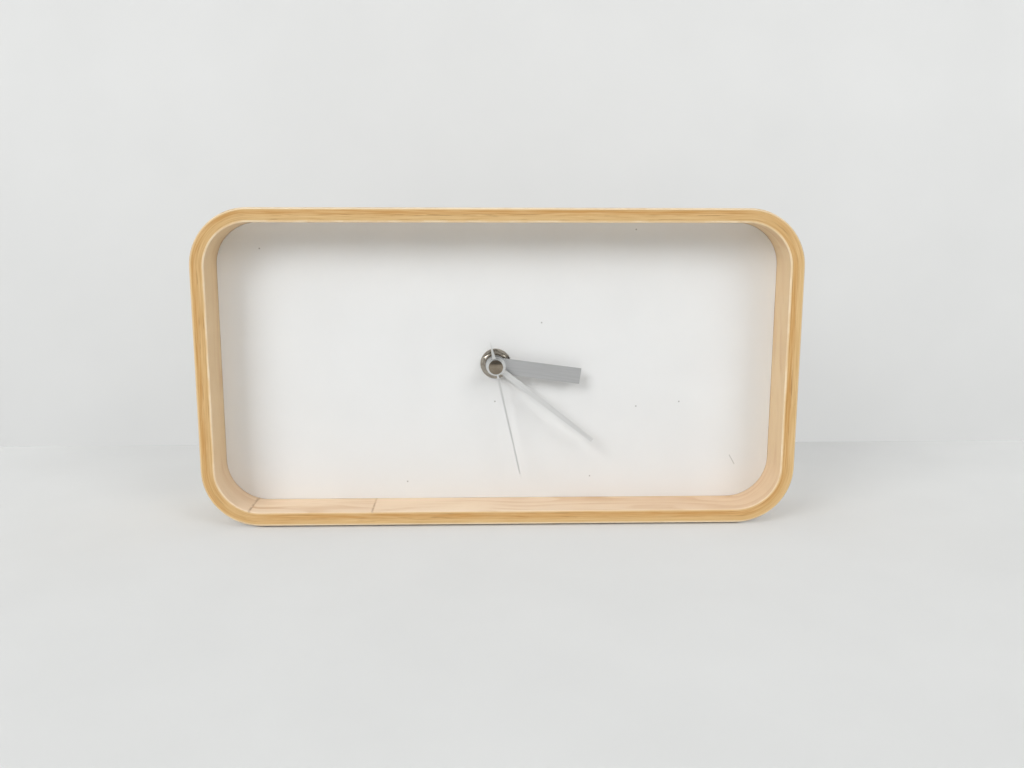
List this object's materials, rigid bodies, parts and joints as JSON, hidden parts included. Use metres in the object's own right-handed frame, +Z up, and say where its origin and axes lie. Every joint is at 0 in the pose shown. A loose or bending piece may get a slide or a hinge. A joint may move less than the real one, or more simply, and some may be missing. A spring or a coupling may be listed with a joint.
{
  "type": "desk clock",
  "caption": "Desk clock with a bent laminated wood frame, a recessed plain white dial, hour, minute and second hands and a battery quartz movement behind the dial.",
  "frame": {"origin": "centre of the flat underside the clock stands on", "axes": "+Z up, +X to the right seen from the front, the dial faces -Y"},
  "size_m": [0.25, 0.045, 0.1325],
  "materials": {
    "face_veneer": "clear matt lacquer on pale veneer",
    "ply_edge": "sanded ply edge, matt lacquer",
    "dial_white": "matt white",
    "board": "raw fibreboard",
    "batten_wood": "raw planed softwood",
    "nickel": "polished nickel plate",
    "brass": "turned",
    "rubber": "matt",
    "hand_grey": "satin, flat grey",
    "hand_silver": "satin silver",
    "cap_metal": "polished",
    "black_plastic": "fine moulded texture",
    "pale_plastic": "moulded natural acetal",
    "magnet": "sintered",
    "stator_steel": "rolled sheet",
    "copper_wire": null,
    "board_green": "solder mask",
    "chip_black": "cast resin",
    "sleeve": "plain shrink sleeve"
  },
  "bodies": {
    "case": {"outer_veneer": "face_veneer", "ply_core": "ply_edge", "inner_veneer": "face_veneer", "inner_patch": "face_veneer", "dial_sheet": "dial_white", "dial_board": "board", "batten_top": "batten_wood", "batten_bottom": "batten_wood", "batten_left": "batten_wood", "batten_right": "batten_wood", "washer": "nickel", "hex_nut": "nickel", "bushing": "brass", "gasket": "rubber", "movement_cover": "black_plastic", "movement_case": "black_plastic", "middle_plate": "pale_plastic", "stator": "stator_steel", "coil_core": "stator_steel", "coil_bobbin": "pale_plastic", "coil_winding": "copper_wire", "circuit_board": "board_green", "quartz_crystal": "nickel", "chip": "chip_black", "positive_contact": "nickel", "negative_contact": "nickel"},
    "minute_hand": {"minute_hand": "hand_silver", "minute_pipe": "brass"},
    "hour_hand": {"hour_hand": "hand_grey", "hour_wheel": "pale_plastic"},
    "setting_knob": {"setting_knob": "black_plastic", "setting_stem": "pale_plastic"},
    "second_hand": {"second_hand": "hand_silver", "second_cap": "cap_metal", "second_wheel": "pale_plastic"},
    "rotor": {"rotor_pinion": "pale_plastic", "rotor_magnet": "magnet"},
    "intermediate_wheel": {"intermediate_wheel": "pale_plastic"},
    "third_wheel": {"third_wheel": "pale_plastic"},
    "centre_wheel": {"centre_wheel": "brass"},
    "cell": {"cell_can": "nickel", "cell_sleeve": "sleeve"}
  },
  "joints": [
    {"name": "minute_hand_turn", "type": "hinge", "parent": "case", "child": "minute_hand", "pos_m": [-0.0016, -0.0035, 0.06625], "axis": [0, 1, 0], "continuous": true},
    {"name": "hour_hand_turn", "type": "hinge", "parent": "case", "child": "hour_hand", "pos_m": [-0.0016, -0.0035, 0.06625], "axis": [0, 1, 0], "continuous": true},
    {"name": "setting_knob_turn", "type": "hinge", "parent": "case", "child": "setting_knob", "pos_m": [0.0034, -0.0035, 0.07491], "axis": [0, 1, 0], "continuous": true},
    {"name": "second_hand_turn", "type": "hinge", "parent": "case", "child": "second_hand", "pos_m": [-0.0016, -0.0035, 0.06625], "axis": [0, 1, 0], "continuous": true},
    {"name": "rotor_turn", "type": "hinge", "parent": "case", "child": "rotor", "pos_m": [0.01344, -0.0035, 0.06557], "axis": [0, 1, 0], "continuous": true},
    {"name": "intermediate_wheel_turn", "type": "hinge", "parent": "case", "child": "intermediate_wheel", "pos_m": [0.00686, -0.0035, 0.06317], "axis": [0, 1, 0], "continuous": true},
    {"name": "third_wheel_turn", "type": "hinge", "parent": "case", "child": "third_wheel", "pos_m": [-0.00939, -0.0035, 0.07075], "axis": [0, 1, 0], "continuous": true},
    {"name": "centre_wheel_turn", "type": "hinge", "parent": "case", "child": "centre_wheel", "pos_m": [-0.0016, -0.0035, 0.06625], "axis": [0, 1, 0], "continuous": true},
    {"name": "cell_slide", "type": "slide", "parent": "case", "child": "cell", "axis": [0, 1, 0], "range_m": [0, 0.03]}
  ],
  "couplings": [
    {"joint": "hour_hand_turn", "follows": "minute_hand_turn", "ratio": 0.083333},
    {"joint": "setting_knob_turn", "follows": "minute_hand_turn", "ratio": -0.33333},
    {"joint": "rotor_turn", "follows": "second_hand_turn", "ratio": 30},
    {"joint": "intermediate_wheel_turn", "follows": "second_hand_turn", "ratio": -5},
    {"joint": "third_wheel_turn", "follows": "second_hand_turn", "ratio": -0.13333},
    {"joint": "centre_wheel_turn", "follows": "second_hand_turn", "ratio": 0.016667}
  ]
}
